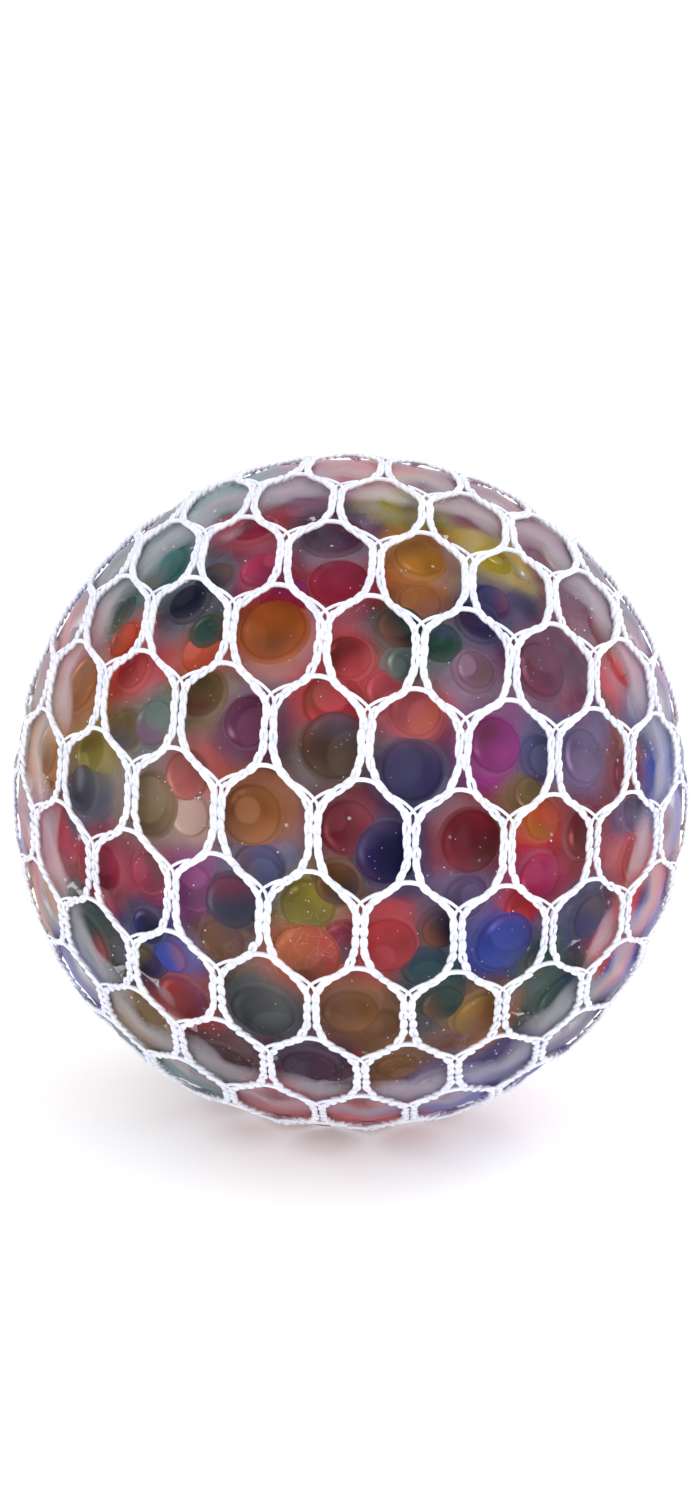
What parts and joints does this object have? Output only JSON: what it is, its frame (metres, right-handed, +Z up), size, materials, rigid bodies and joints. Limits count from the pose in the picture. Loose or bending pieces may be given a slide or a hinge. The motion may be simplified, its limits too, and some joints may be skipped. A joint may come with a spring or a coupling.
{
  "type": "stress ball",
  "caption": "Squeezable desk ball: a clear elastic bladder packed with coloured gel beads, worn in a white knitted hexagonal net that is gathered and bound at the back.",
  "frame": {"origin": "on the surface the ball stands on, under the middle of the whole ball with its tail", "axes": "+Z up, -Y the way the net's open face looks, +Y the way the gathered tail points, +X to the right seen from the front"},
  "size_m": [0.0669, 0.0788, 0.0665],
  "materials": {
    "net_yarn": "bright white knitted yarn, slightly cool",
    "clear_skin": "clear, slightly milky elastomer with a soft gloss",
    "gel_mixed": "wet gel beads of all colours",
    "gel_amber": "wet, see-through amber gel",
    "gel_blue": "wet, see-through blue gel",
    "gel_crimson": "wet, see-through crimson gel",
    "gel_green": "wet, see-through green gel",
    "gel_magenta": "wet, see-through magenta gel",
    "gel_mauve": "wet, see-through mauve gel",
    "gel_navy": "wet, see-through navy gel",
    "gel_olive": "wet, see-through olive gel",
    "gel_orange": "wet, see-through orange gel",
    "gel_red": "wet, see-through red gel",
    "gel_violet": "wet, see-through violet gel"
  },
  "bodies": {
    "root": {"net": "net_yarn", "binding_thread": "net_yarn", "bladder": "clear_skin", "fill_plug": "clear_skin", "bead_pack": "gel_mixed", "bead_01": "gel_violet", "bead_02": "gel_crimson", "bead_03": "gel_violet", "bead_04": "gel_amber", "bead_05": "gel_navy", "bead_06": "gel_crimson", "bead_07": "gel_orange", "bead_08": "gel_crimson", "bead_09": "gel_green", "bead_10": "gel_navy", "bead_11": "gel_orange", "bead_12": "gel_red", "bead_13": "gel_red", "bead_14": "gel_mauve", "bead_15": "gel_violet", "bead_16": "gel_amber", "bead_17": "gel_green", "bead_18": "gel_olive", "bead_19": "gel_violet", "bead_20": "gel_olive", "bead_21": "gel_red", "bead_22": "gel_magenta", "bead_23": "gel_navy", "bead_24": "gel_navy", "bead_25": "gel_olive", "bead_26": "gel_navy", "bead_27": "gel_violet", "bead_28": "gel_red", "bead_29": "gel_crimson", "bead_30": "gel_crimson", "bead_31": "gel_crimson", "bead_32": "gel_orange", "bead_33": "gel_navy", "bead_34": "gel_red", "bead_35": "gel_red", "bead_36": "gel_red", "bead_37": "gel_navy", "bead_38": "gel_navy", "bead_39": "gel_orange", "bead_40": "gel_crimson", "bead_41": "gel_navy", "bead_42": "gel_green", "bead_43": "gel_orange", "bead_44": "gel_red", "bead_45": "gel_blue", "bead_46": "gel_green", "bead_47": "gel_red", "bead_48": "gel_red", "bead_49": "gel_green", "bead_50": "gel_amber", "bead_51": "gel_amber", "bead_52": "gel_crimson", "bead_53": "gel_violet", "bead_54": "gel_orange", "bead_55": "gel_violet"}
  },
  "joints": []
}
